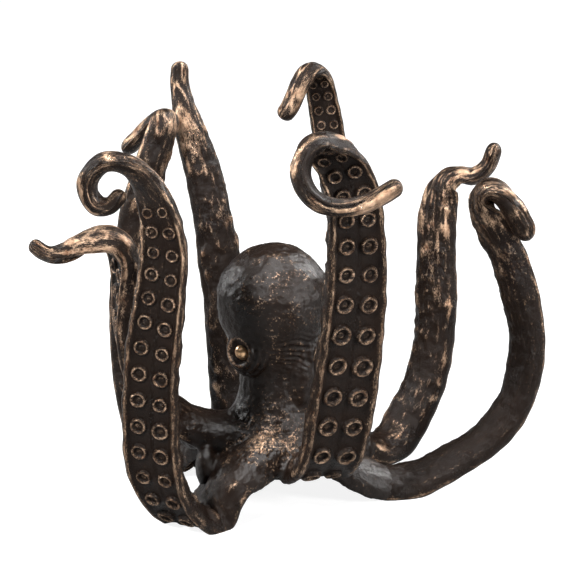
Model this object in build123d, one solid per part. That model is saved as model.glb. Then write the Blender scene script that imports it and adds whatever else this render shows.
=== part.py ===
from build123d import *
import math
import os

# Octopus figurine: a raised body with a round head, and eight arms that rise round it like a basket.
# Millimetres, +Z up, +X to the right of somebody who looks at the eye, origin on the ground under the middle.

# Driving dimensions of the whole figure.
FIGURE_HALF_WIDTH = 140.0
FIGURE_HALF_DEPTH = 120.0
FIGURE_HEIGHT = 233.0
CENTRE_X = -3.9
CENTRE_Y = 8.0

# Driving dimensions of an arm. Its size share at each point of its route scales both of them.
ARM_WIDTH = 30.0
ARM_THICKNESS = 14.0
SOLE_DEPTH = 2.2
THICKNESS_FLOOR_SHARE = 0.40

# Outline across an arm, as shares of half its width and half its thickness. The suckers sit in the
# shallow trough between the two raised edges at the top, and the back at the bottom is rounded.
TROUGH_WIDTH_SHARE = 0.72
TROUGH_LEVEL_SHARE = 0.70
EDGE_CREST_SHARE = 0.84
SHOULDER_LEVEL_SHARE = 0.45
FLANK_WIDTH_SHARE = 0.90
FLANK_LEVEL_SHARE = -0.35
BACK_WIDTH_SHARE = 0.50
BACK_LEVEL_SHARE = -0.90

# Suckers: cups in pairs, one pair to each pitch along the arm.
SUCKER_PITCH_SHARE = 0.98
SUCKER_RADIUS_SHARE = 0.31
SUCKER_HEIGHT_SHARE = 0.15
SUCKER_OFFSET_SHARE = 0.40
SUCKER_STAGGER_SHARE = 0.10
SUCKER_SINK_SHARE = 0.06
SUCKER_RIM_SHARE = 0.80
SUCKER_PIT_SHARE = 0.85
SUCKER_SIDES = 6
# Share of its route at which each arm's suckers end, short of the fold or curl of its tip.
SUCKER_END_SHARES = {
    "arm_front_left": 0.60,
    "arm_front_right": 0.62,
    "arm_right_front": 0.68,
    "arm_right_rear": 0.70,
    "arm_rear": 0.70,
    "arm_rear_left": 0.78,
    "arm_left_rear": 0.68,
    "arm_left": 0.80,
}

# Arm routes, one row a point, from inside the body to the tip: share of the half width to the right,
# share of the half depth to the rear, share of the height, size share, and the way that the suckers
# face there, as a bearing from +X towards the rear and a pitch above level, in degrees.
ARM_ROUTE_SHARES = {
    "arm_front_left": [
        (-0.075, -0.150, 0.124, 1.28, 235, -66),
        (-0.220, -0.280, 0.074, 1.40, 235, -68),
        (-0.314, -0.375, -0.010, 1.15, 235, -70),
        (-0.415, -0.510, 0.050, 1.05, 240, -42),
        (-0.475, -0.600, 0.155, 1.00, 250, -14),
        (-0.484, -0.655, 0.290, 0.98, 256, 0),
        (-0.470, -0.690, 0.430, 0.93, 257, 3),
        (-0.438, -0.715, 0.560, 0.86, 257, 5),
        (-0.422, -0.730, 0.660, 0.79, 256, 0),
        (-0.440, -0.745, 0.742, 0.68, 248, -10),
        (-0.496, -0.750, 0.814, 0.57, 232, -30),
        (-0.562, -0.750, 0.845, 0.51, 215, -60),
        (-0.630, -0.750, 0.846, 0.48, 290, -80),
        (-0.679, -0.755, 0.817, 0.45, 345, -30),
        (-0.684, -0.760, 0.783, 0.42, 350, 15),
        (-0.652, -0.768, 0.758, 0.37, 320, 65),
        (-0.612, -0.775, 0.757, 0.32, 200, 60),
        (-0.586, -0.783, 0.771, 0.27, 190, 20),
    ],
    "arm_front_right": [
        (0.060, -0.150, 0.110, 1.12, 288, -70),
        (0.105, -0.270, 0.095, 1.12, 290, -62),
        (0.158, -0.400, 0.150, 1.20, 291, -28),
        (0.194, -0.480, 0.280, 1.22, 292, -6),
        (0.222, -0.540, 0.430, 1.18, 293, 0),
        (0.238, -0.585, 0.560, 1.10, 293, 2),
        (0.238, -0.620, 0.670, 1.00, 290, 0),
        (0.230, -0.660, 0.763, 0.90, 284, -5),
        (0.187, -0.710, 0.842, 0.80, 270, -20),
        (0.127, -0.780, 0.887, 0.71, 250, -50),
        (0.078, -0.860, 0.884, 0.62, 300, -55),
        (0.048, -0.930, 0.840, 0.53, 350, -10),
        (0.084, -0.970, 0.796, 0.45, 20, 45),
        (0.160, -0.970, 0.775, 0.40, 60, 75),
        (0.268, -0.940, 0.780, 0.38, 95, 60),
        (0.390, -0.900, 0.816, 0.35, 110, 40),
    ],
    "arm_right_front": [
        (0.130, -0.040, 0.110, 0.98, 22, -75),
        (0.305, -0.030, 0.040, 0.94, 28, -74),
        (0.425, 0.022, -0.006, 0.88, 33, -71),
        (0.550, 0.045, 0.034, 0.82, 37, -63),
        (0.682, 0.064, 0.064, 0.78, 41, -50),
        (0.796, 0.078, 0.111, 0.76, 43, -37),
        (0.881, 0.088, 0.177, 0.74, 44, -23),
        (0.930, 0.100, 0.261, 0.74, 45, -10),
        (0.942, 0.115, 0.352, 0.77, 45, 0),
        (0.910, 0.122, 0.442, 0.80, 44, 8),
        (0.862, 0.125, 0.530, 0.82, 40, 13),
        (0.801, 0.124, 0.603, 0.83, 33, 10),
        (0.758, 0.112, 0.658, 0.80, 26, -12),
        (0.767, 0.088, 0.700, 0.78, 18, -55),
        (0.815, 0.055, 0.702, 0.75, 215, -74),
        (0.878, 0.018, 0.656, 0.73, 198, -32),
        (0.930, -0.012, 0.596, 0.70, 196, -18),
    ],
    "arm_right_rear": [
        (0.130, 0.100, 0.120, 0.95, 40, -78),
        (0.250, 0.195, 0.092, 0.95, 46, -78),
        (0.345, 0.270, 0.050, 0.95, 53, -72),
        (0.427, 0.335, 0.053, 0.92, 59, -60),
        (0.494, 0.395, 0.103, 0.88, 63, -42),
        (0.560, 0.450, 0.182, 0.84, 62, -22),
        (0.598, 0.490, 0.275, 0.83, 60, -8),
        (0.606, 0.515, 0.390, 0.83, 58, 0),
        (0.604, 0.538, 0.510, 0.82, 55, 2),
        (0.612, 0.556, 0.612, 0.79, 46, -8),
        (0.646, 0.565, 0.676, 0.69, 20, -45),
        (0.704, 0.558, 0.694, 0.57, 348, -76),
        (0.762, 0.542, 0.694, 0.49, 345, -65),
        (0.814, 0.522, 0.722, 0.43, 350, -32),
        (0.841, 0.492, 0.778, 0.40, 352, -12),
    ],
    "arm_rear": [
        (0.050, 0.160, 0.110, 0.90, 75, -80),
        (0.072, 0.345, 0.045, 0.90, 75, -84),
        (0.105, 0.475, 0.000, 0.95, 73, -80),
        (0.155, 0.575, 0.018, 0.96, 66, -62),
        (0.215, 0.635, 0.090, 0.95, 52, -35),
        (0.268, 0.660, 0.200, 0.93, 30, -14),
        (0.284, 0.670, 0.330, 0.88, 5, 0),
        (0.262, 0.680, 0.470, 0.82, 340, 0),
        (0.218, 0.690, 0.620, 0.74, 308, 0),
        (0.178, 0.690, 0.750, 0.64, 286, 0),
        (0.152, 0.680, 0.852, 0.59, 275, -5),
        (0.130, 0.652, 0.926, 0.54, 270, -35),
        (0.100, 0.595, 0.956, 0.52, 262, -82),
        (0.054, 0.545, 0.920, 0.47, 75, -40),
        (0.014, 0.530, 0.864, 0.45, 75, -5),
        (-0.028, 0.530, 0.836, 0.42, 60, 30),
    ],
    "arm_rear_left": [
        (-0.085, 0.190, 0.110, 0.90, 115, -80),
        (-0.135, 0.365, 0.045, 0.90, 115, -84),
        (-0.170, 0.495, 0.000, 0.95, 115, -80),
        (-0.205, 0.595, 0.018, 0.96, 115, -62),
        (-0.218, 0.660, 0.090, 0.93, 114, -35),
        (-0.233, 0.690, 0.200, 0.90, 112, -14),
        (-0.248, 0.700, 0.330, 0.88, 110, -5),
        (-0.274, 0.710, 0.460, 0.84, 110, 0),
        (-0.305, 0.725, 0.580, 0.78, 110, 0),
        (-0.344, 0.745, 0.690, 0.72, 110, 0),
        (-0.391, 0.765, 0.782, 0.61, 110, -10),
        (-0.422, 0.800, 0.846, 0.47, 112, -34),
        (-0.441, 0.835, 0.896, 0.39, 112, -16),
        (-0.440, 0.850, 0.954, 0.34, 110, 10),
    ],
    "arm_left_rear": [
        (-0.160, 0.080, 0.110, 0.95, 140, -76),
        (-0.310, 0.200, 0.076, 0.95, 140, -80),
        (-0.425, 0.310, 0.002, 0.95, 138, -76),
        (-0.515, 0.400, 0.018, 0.98, 136, -60),
        (-0.585, 0.470, 0.095, 0.98, 135, -34),
        (-0.620, 0.510, 0.205, 0.96, 135, -12),
        (-0.633, 0.530, 0.320, 0.92, 135, -3),
        (-0.628, 0.540, 0.450, 0.88, 136, 0),
        (-0.602, 0.555, 0.570, 0.84, 138, 0),
        (-0.562, 0.565, 0.675, 0.78, 142, 0),
        (-0.520, 0.578, 0.757, 0.70, 148, -12),
        (-0.492, 0.596, 0.814, 0.62, 154, -40),
        (-0.495, 0.628, 0.832, 0.54, 158, -75),
        (-0.540, 0.665, 0.817, 0.50, 332, -75),
        (-0.606, 0.695, 0.776, 0.47, 335, -45),
        (-0.670, 0.715, 0.737, 0.44, 335, -35),
    ],
    "arm_left": [
        (-0.170, -0.055, 0.150, 1.00, 175, -72),
        (-0.325, -0.085, 0.160, 1.00, 172, -66),
        (-0.437, -0.110, 0.202, 1.03, 172, -56),
        (-0.520, -0.130, 0.248, 1.00, 175, -35),
        (-0.586, -0.140, 0.325, 0.96, 185, -10),
        (-0.610, -0.150, 0.415, 0.93, 190, 5),
        (-0.602, -0.160, 0.510, 0.95, 195, 0),
        (-0.608, -0.180, 0.584, 0.98, 200, -30),
        (-0.662, -0.210, 0.625, 0.92, 205, -62),
        (-0.740, -0.240, 0.620, 0.75, 215, -70),
        (-0.820, -0.260, 0.600, 0.50, 230, -60),
        (-0.888, -0.270, 0.595, 0.37, 235, -50),
        (-0.950, -0.270, 0.622, 0.26, 220, -40),
    ],
}
SEAM_ROW = 1
ROOT_STEPS = 2
TIP_SIZE_SHARE = 0.55

# Body: a stack of ellipses from the underside to the crown.
HEAD_WIDTH = 61.0
HEAD_DEPTH = 63.0
BODY_BOTTOM = 15.0
BODY_TOP = 141.0
BODY_X = -7.0
BODY_Y = 3.0
# Share of the body's height, then shares of half the head's width and depth.
BODY_RING_SHARES = [
    (0.00, 0.96, 0.94),
    (0.07, 1.24, 1.22),
    (0.15, 1.16, 1.13),
    (0.27, 0.74, 0.76),
    (0.42, 0.60, 0.66),
    (0.55, 0.73, 0.80),
    (0.66, 0.95, 0.96),
    (0.77, 1.01, 1.01),
    (0.88, 0.86, 0.87),
    (0.97, 0.48, 0.49),
    (1.00, 0.16, 0.16),
]

# Eyes: a polished dome on a shank, set in a bore inside a raised lid.
EYE_DIAMETER = 9.0
DOME_SHARES = [(1.00, 0.00), (0.84, 0.54), (0.44, 0.90), (0.00, 0.99)]
EYE_SHANK_DIAMETER = 5.0
EYE_SHANK_LENGTH = 6.0
EYE_CLEARANCE = 0.15
EYE_GROOVE_WIDTH = 1.2
EYE_GROOVE_DEPTH = 1.6
EYE_BROW_REACH = 8.0
LID_DIAMETER = 17.0
LID_STALK_DIAMETER = 22.0
LID_STALK_LENGTH = 14.0
EYE_HEIGHT = 84.0
EYE_REACH = 26.0
RIGHT_EYE_BEARING = 228.0
LEFT_EYE_BEARING = 342.0
EYE_PITCH = 4.0

# Tenons: each arm is bonded on its root, keyed by a square tenon in a mortise.
TENON_WIDTH = 10.0
TENON_THICKNESS = 6.0
TENON_LENGTH = 9.0
TENON_CLEARANCE = 0.15

# Small shared values.
ROUTE_STEPS = 240
DIRECTION_STEP_SHARE = 0.002


def way(bearing, pitch):
    """Unit vector with a bearing from +X towards +Y and a pitch above level."""
    level = math.cos(math.radians(pitch))
    return Vector(
        math.cos(math.radians(bearing)) * level,
        math.sin(math.radians(bearing)) * level,
        math.sin(math.radians(pitch)),
    )


def thickness(size):
    """An arm thins more slowly than it narrows, so its tip is nearly round."""
    return ARM_THICKNESS * (THICKNESS_FLOOR_SHARE + (1 - THICKNESS_FLOOR_SHARE) * size)


def route_rows(name):
    """The rows of one arm in millimetres: place, size and facing direction."""
    sole = thickness(1) / 2 - SOLE_DEPTH
    rows = []
    for across, back, up, size, bearing, pitch in ARM_ROUTE_SHARES[name]:
        place = Vector(
            CENTRE_X + across * FIGURE_HALF_WIDTH,
            CENTRE_Y + back * FIGURE_HALF_DEPTH,
            sole + up * FIGURE_HEIGHT,
        )
        rows.append((*place, size, *way(bearing, pitch)))
    return rows


def eased(rows, share):
    """A smooth curve through all rows, share 0 at the first and 1 at the last."""
    spans = len(rows) - 1
    first = min(int(share * spans), spans - 1)
    u = share * spans - first
    here, there = rows[first], rows[first + 1]
    before = rows[first - 1] if first else [2 * a - b for a, b in zip(here, there)]
    after = rows[first + 2] if first + 2 <= spans else [2 * b - a for a, b in zip(here, there)]
    values = []
    for a, b, c, d in zip(before, here, there, after):
        values.append(b + u * ((c - a) + u * (2 * a - 5 * b + 4 * c - d + u * (3 * b - a - 3 * c + d))) / 2)
    return values


def station(rows, share):
    """Plane across the arm at a share of its route, x along its width, y out of its sucker face."""
    x, y, z, size, *face = eased(rows, share)
    ahead = Vector(*eased(rows, min(1, share + DIRECTION_STEP_SHARE))[:3])
    behind = Vector(*eased(rows, max(0, share - DIRECTION_STEP_SHARE))[:3])
    along = (ahead - behind).normalized()
    width_way = Vector(*face).cross(along).normalized()
    return Plane(origin=(x, y, z), x_dir=width_way, z_dir=along), size


def outline(size):
    """Points across an arm, from the left foot of the trough round the back to its right foot."""
    half_width = ARM_WIDTH * size / 2
    half_thickness = thickness(size) / 2
    right_shares = [
        (BACK_WIDTH_SHARE, BACK_LEVEL_SHARE),
        (FLANK_WIDTH_SHARE, FLANK_LEVEL_SHARE),
        (1, SHOULDER_LEVEL_SHARE),
        (EDGE_CREST_SHARE, 1),
        (TROUGH_WIDTH_SHARE, TROUGH_LEVEL_SHARE),
    ]
    left_shares = [(-across, level) for across, level in reversed(right_shares)]
    return [(across * half_width, level * half_thickness) for across, level in left_shares + right_shares]


def cross_section(plane, size):
    """The closed outline of an arm on its station plane."""
    return plane * make_face(Polyline(*outline(size), close=True))


def pitch_shares(rows):
    """Shares of the route, from the seam to the tip, one sucker pitch apart."""
    seam = SEAM_ROW / (len(rows) - 1)
    shares = [seam]
    travelled = 0
    last = Vector(*eased(rows, seam)[:3])
    for step in range(1, ROUTE_STEPS + 1):
        share = seam + (1 - seam) * step / ROUTE_STEPS
        values = eased(rows, share)
        here = Vector(*values[:3])
        travelled += (here - last).length
        last = here
        if travelled >= SUCKER_PITCH_SHARE * ARM_WIDTH * values[3] / 2:
            shares.append(share)
            travelled = 0
    shares[-1] = 1
    return shares


def make_cup():
    """One sucker of an arm at full size: a tapered ring of flats round a pit, standing on the ground plane."""
    radius = SUCKER_RADIUS_SHARE * ARM_WIDTH / 2
    height = SUCKER_HEIGHT_SHARE * ARM_WIDTH / 2
    sink = SUCKER_SINK_SHARE * ARM_WIDTH / 2
    foot = Plane.XY.offset(-sink) * RegularPolygon(radius, SUCKER_SIDES)
    rim = Plane.XY.offset(height) * RegularPolygon(radius * SUCKER_RIM_SHARE, SUCKER_SIDES)
    pit_floor = Vertex(0, 0, height * (1 - SUCKER_PIT_SHARE))
    return loft([foot.face(), rim.face()], ruled=True) - loft([rim.face(), pit_floor], ruled=True)


def sucker_planes(near, far, size):
    """Places of the pair of suckers between two stations, on the flat of the trough."""
    half_trough = TROUGH_WIDTH_SHARE * ARM_WIDTH * size / 2
    planes = []
    for side in (-1, 1):
        along_share = (1 + side * SUCKER_STAGGER_SHARE) / 2
        (near_plane, near_size), (far_plane, far_size) = near, far
        near_level = TROUGH_LEVEL_SHARE * thickness(near_size) / 2
        far_level = TROUGH_LEVEL_SHARE * thickness(far_size) / 2
        offset = side * SUCKER_OFFSET_SHARE * ARM_WIDTH * size / 2
        near_point = near_plane.from_local_coords(Vector(offset, near_level, 0))
        far_point = far_plane.from_local_coords(Vector(offset, far_level, 0))
        point = near_point + (far_point - near_point) * along_share
        width_way = near_plane.x_dir + far_plane.x_dir
        out = width_way.cross(near_point - far_point)
        planes.append(Plane(origin=point, x_dir=width_way, z_dir=out))
    return planes


def tenon(plane, clearance):
    """The key on the seam end of an arm, or with a clearance the mortise that takes it."""
    block = Box(
        TENON_WIDTH + 2 * clearance,
        TENON_THICKNESS + 2 * clearance,
        TENON_LENGTH + clearance,
        align=(Align.CENTER, Align.CENTER, Align.MAX),
    )
    return plane.location * block


def above_ground(shape):
    """What is left when the underside is ground flat."""
    return split(shape, bisect_by=Plane.XY, keep=Keep.TOP)


def make_arm(name):
    """One arm from its seam to its tip, with its suckers and the tenon at its seam."""
    rows = route_rows(name)
    shares = pitch_shares(rows)
    stations = [station(rows, share) for share in shares]
    tip_plane, tip_size = stations[-1]
    stations[-1] = (tip_plane, tip_size * TIP_SIZE_SHARE)
    arm = loft([cross_section(plane, size).face() for plane, size in stations], ruled=True)
    cups = []
    for near, far, share in zip(stations, stations[1:], shares[1:]):
        size = (near[1] + far[1]) / 2
        if share < SUCKER_END_SHARES[name]:
            cups += [plane.location * scale(CUP, by=size) for plane in sucker_planes(near, far, size)]
    cups.append(tenon(stations[0][0], 0))
    return above_ground(arm.fuse(*[piece.solid() for piece in cups]))


def seam_plane(name):
    """The plane where an arm is bonded to its root."""
    rows = route_rows(name)
    return station(rows, SEAM_ROW / (len(rows) - 1))[0]


def make_root(name):
    """The short root on the body that carries one arm."""
    rows = route_rows(name)
    seam = SEAM_ROW / (len(rows) - 1)
    stations = [station(rows, seam * step / ROOT_STEPS) for step in range(ROOT_STEPS + 1)]
    return loft([cross_section(plane, size).face() for plane, size in stations], ruled=True)


def make_trunk():
    """The head, the neck and the skirt as one stack of ellipses."""
    rings = []
    for up, width_share, depth_share in BODY_RING_SHARES:
        height = BODY_BOTTOM + up * (BODY_TOP - BODY_BOTTOM)
        middle = Plane(origin=(CENTRE_X + BODY_X, CENTRE_Y + BODY_Y, height))
        rings.append((middle * Ellipse(HEAD_WIDTH / 2 * width_share, HEAD_DEPTH / 2 * depth_share)).face())
    return loft(rings, ruled=True)


def eye_plane(bearing):
    """Seat of an eye, z out of the head."""
    out = way(bearing, EYE_PITCH)
    axis = Vector(CENTRE_X + BODY_X, CENTRE_Y + BODY_Y, EYE_HEIGHT)
    return Plane(origin=axis + out * EYE_REACH, z_dir=out)


def make_lid(bearing):
    """A raised lid round one eye, on a stalk that runs back into the head."""
    stalk = Cone(
        LID_STALK_DIAMETER / 2,
        LID_DIAMETER / 2,
        LID_STALK_LENGTH,
        align=(Align.CENTER, Align.CENTER, Align.MAX),
    )
    return eye_plane(bearing) * stalk


def eye_bore(bearing):
    """The groove round the dome, open past the brow, and the bore for its shank."""
    groove = Cylinder(
        EYE_DIAMETER / 2 + EYE_GROOVE_WIDTH,
        EYE_GROOVE_DEPTH + EYE_BROW_REACH,
        align=(Align.CENTER, Align.CENTER, Align.MIN),
    ).moved(Location((0, 0, -EYE_GROOVE_DEPTH)))
    bore = Cylinder(
        EYE_SHANK_DIAMETER / 2 + EYE_CLEARANCE,
        EYE_GROOVE_DEPTH + EYE_SHANK_LENGTH + EYE_CLEARANCE,
        align=(Align.CENTER, Align.CENTER, Align.MAX),
    )
    return eye_plane(bearing) * (groove + bore)


def make_eye(bearing):
    """A dome on a shank, seated on the floor of the groove."""
    floor = eye_plane(bearing).offset(-EYE_GROOVE_DEPTH)
    radius = EYE_DIAMETER / 2
    profile = [(0, 0)] + [(radius * out, radius * up) for out, up in DOME_SHARES]
    dome = revolve(make_face(Plane.XZ * Polyline(*profile, close=True)), axis=Axis.Z)
    shank = Cylinder(EYE_SHANK_DIAMETER / 2, EYE_SHANK_LENGTH, align=(Align.CENTER, Align.CENTER, Align.MAX))
    return floor * (dome + shank)


def make_body():
    """The trunk with its eight roots, two lids, the eye bores and the mortises."""
    roots = [make_root(name) for name in ARM_ROUTE_SHARES]
    lids = [make_lid(RIGHT_EYE_BEARING), make_lid(LEFT_EYE_BEARING)]
    body = make_trunk().fuse(*[piece.solid() for piece in roots + lids])
    for bearing in (RIGHT_EYE_BEARING, LEFT_EYE_BEARING):
        body -= eye_bore(bearing)
    for name in ARM_ROUTE_SHARES:
        body -= tenon(seam_plane(name), TENON_CLEARANCE)
    return body


def write(shape, node):
    """One file for one node."""
    export_step(shape, f"parts/{node}.step")
    print(node, "volume", round(shape.volume / 1000, 1), "cm3")


os.makedirs("parts", exist_ok=True)
CUP = make_cup()
write(make_body(), "body")
write(make_eye(RIGHT_EYE_BEARING), "right_eye")
write(make_eye(LEFT_EYE_BEARING), "left_eye")
for arm_name in ARM_ROUTE_SHARES:
    write(make_arm(arm_name), arm_name)
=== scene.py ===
# %% [markdown]
# # An octopus figurine in antique bronze
# The real object is a table sculpture, cast in pieces and bonded: a body with a round head, two gilt
# eyes, and eight arms that rise round it. Its finish is a dark brown patina with copper rubbed on
# everything that stands proud. We load the measured frame first, so that every piece that we model
# lands where the solid model says. All lengths here are metres.

# %% Load the frame
import bpy
import math
import numpy as np
from mathutils import Matrix, Vector, noise


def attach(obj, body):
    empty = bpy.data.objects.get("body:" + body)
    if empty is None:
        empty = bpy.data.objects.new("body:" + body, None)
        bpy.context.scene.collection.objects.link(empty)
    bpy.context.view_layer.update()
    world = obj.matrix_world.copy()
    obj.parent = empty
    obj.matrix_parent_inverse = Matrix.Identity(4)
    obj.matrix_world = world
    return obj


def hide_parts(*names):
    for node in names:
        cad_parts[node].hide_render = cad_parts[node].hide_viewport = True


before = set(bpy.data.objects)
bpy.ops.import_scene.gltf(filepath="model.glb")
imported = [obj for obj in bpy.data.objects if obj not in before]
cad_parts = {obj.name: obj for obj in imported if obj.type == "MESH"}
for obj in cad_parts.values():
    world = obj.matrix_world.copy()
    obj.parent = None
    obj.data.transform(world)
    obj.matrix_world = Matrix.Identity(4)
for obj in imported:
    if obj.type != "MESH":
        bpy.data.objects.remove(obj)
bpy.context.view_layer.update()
MM = 0.001

# %% [markdown]
# ## The camera
# The photograph is taken from a little above, from about a metre away. A camera object looks along its
# own -Z, so `to_track_quat` turns it to its target. The focal length is worked out from the picture: the
# figure's real width against its width in pixels.

# %% Set the camera
FIGURE_MIDDLE = Vector((-3.9, 8.0, 0)) * MM
AIM_HEIGHT = 118 * MM
CAMERA_DISTANCE = 1.0
CAMERA_ELEVATION = math.radians(14)
FOCAL_PIXELS = 1852
PHOTO_PIXELS = 573
SENSOR_MM = 36

aim = FIGURE_MIDDLE + Vector((0, 0, AIM_HEIGHT))
back_off = Vector((0, -math.cos(CAMERA_ELEVATION), math.sin(CAMERA_ELEVATION)))
camera = bpy.data.objects.new("photo_camera", bpy.data.cameras.new("photo_camera"))
camera.data.sensor_width = SENSOR_MM
camera.data.lens = FOCAL_PIXELS / PHOTO_PIXELS * SENSOR_MM
camera.location = aim + back_off * CAMERA_DISTANCE
camera.rotation_euler = (aim - camera.location).to_track_quat("-Z", "Y").to_euler()
bpy.context.collection.objects.link(camera)
bpy.context.scene.camera = camera
bpy.context.scene.view_settings.view_transform = "Standard"
print("lens", round(camera.data.lens, 1), "mm")

# %% [markdown]
# ## Floor, backdrop and light
# The picture was taken on white. A matt floor alone would go grey away from the lamps, so it also glows,
# and the glow looks at the kind of ray: the camera sees most of it, and the figure sees little, or it
# would be lit from below. Beside the figure it is weaker, where the matt half takes the shadow.

# %% Lay the floor
FLOOR_SIZE = 6.0
WHITE = (1, 1, 1, 1)
PAPER_GREY = (0.30, 0.30, 0.30, 1)
GLOW_HIDDEN = 0.04
GLOW_BESIDE = 0.88
# How far from the middle the glow begins to grow, and where it is full.
FADE_START = 0.25
FADE_END = 0.80


def select(*objects):
    """Selects these objects only, the last as the active one, because operators act on what is selected."""
    bpy.ops.object.select_all(action="DESELECT")
    for chosen in objects:
        chosen.select_set(True)
        bpy.context.view_layer.objects.active = chosen


def feed(tree, value, place):
    """Links an output to an input, or gives the input a plain value."""
    if isinstance(value, bpy.types.NodeSocket):
        tree.links.new(value, place)
    else:
        place.default_value = value


def node(tree, kind, **inputs):
    """A shader node with its inputs fed. Names with spaces are written with underscores."""
    made = tree.nodes.new(kind)
    for name, value in inputs.items():
        feed(tree, value, made.inputs[name.replace("_", " ")])
    return made


select()
bpy.ops.mesh.primitive_plane_add(size=FLOOR_SIZE, location=(0, 0, 0))
floor = bpy.context.object
floor.name = "floor"

paper = bpy.data.materials.new("white_paper")
paper.use_nodes = True
tree = paper.node_tree
tree.nodes.clear()
rays = tree.nodes.new("ShaderNodeLightPath")
coords = tree.nodes.new("ShaderNodeTexCoord")
away = tree.nodes.new("ShaderNodeVectorMath")
away.operation = "LENGTH"
feed(tree, coords.outputs["Object"], away.inputs[0])
fade = node(tree, "ShaderNodeMapRange", From_Min=FADE_START, From_Max=FADE_END, To_Min=GLOW_BESIDE)
feed(tree, away.outputs["Value"], fade.inputs["Value"])
glow = node(tree, "ShaderNodeMapRange", To_Min=GLOW_HIDDEN, To_Max=fade.outputs[0])
feed(tree, rays.outputs["Is Camera Ray"], glow.inputs["Value"])
matt = node(tree, "ShaderNodeBsdfDiffuse", Color=PAPER_GREY)
bright = node(tree, "ShaderNodeEmission", Color=WHITE, Strength=glow.outputs[0])
both = tree.nodes.new("ShaderNodeAddShader")
feed(tree, matt.outputs[0], both.inputs[0])
feed(tree, bright.outputs[0], both.inputs[1])
node(tree, "ShaderNodeOutputMaterial", Surface=both.outputs[0])
floor.data.materials.append(paper)
print("floor", FLOOR_SIZE, "m")

# %% Hang the lamps
LAMPS = {
    # name: place, size, power in watts
    "key_left": ((-0.60, -1.00, 1.00), 0.22, 30),
    "fill_right": ((1.10, -0.60, 0.55), 0.30, 16),
    "ceiling": ((0.05, -0.05, 1.45), 0.35, 20),
    "rim_left": ((-1.00, 0.60, 0.50), 0.30, 7),
    "rim_right": ((0.90, 0.80, 0.75), 0.30, 14),
}
TENT_LIGHT = 0.05

for name, (place, size, watts) in LAMPS.items():
    lamp = bpy.data.objects.new(name, bpy.data.lights.new(name, "AREA"))
    lamp.data.size = size
    lamp.data.energy = watts
    lamp.location = place
    lamp.rotation_euler = (aim - lamp.location).to_track_quat("-Z", "Y").to_euler()
    bpy.context.collection.objects.link(lamp)

world = bpy.data.worlds.new("tent")
world.use_nodes = True
bpy.context.scene.world = world
tree = world.node_tree
tree.nodes.clear()
rays = tree.nodes.new("ShaderNodeLightPath")
dim = node(tree, "ShaderNodeBackground", Color=WHITE, Strength=TENT_LIGHT)
white = node(tree, "ShaderNodeBackground", Color=WHITE, Strength=1.0)
pick = tree.nodes.new("ShaderNodeMixShader")
feed(tree, rays.outputs["Is Camera Ray"], pick.inputs[0])
feed(tree, dim.outputs[0], pick.inputs[1])
feed(tree, white.outputs[0], pick.inputs[2])
node(tree, "ShaderNodeOutputWorld", Surface=pick.outputs[0])
print("lamps", len(LAMPS))

# %% [markdown]
# ## The arms' routes
# Each arm is a long tapering strip that follows a curve in space, and its sucker face turns as it goes.
# A route is a short list of points: how far right, back and up, how wide the arm is there,
# and which way the suckers face, as a bearing and a pitch in degrees. They are the solid model's points,
# as shares of the figure's size, so the skins below land on the solids that they stand for. Only two
# bends at the ground, three tips, one arm's crown and one arm's twist are drawn a little finer here.

# %% Keep the routes
HALF_WIDTH = 140 * MM
HALF_DEPTH = 120 * MM
HEIGHT = 233 * MM
ARM_WIDTH = 30 * MM
ARM_THICKNESS = 14 * MM
# The lowest bends are sunk into the ground by this much, so that they stand on flat soles.
SOLE_DEPTH = 2.2 * MM
THICKNESS_FLOOR_SHARE = 0.40

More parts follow.
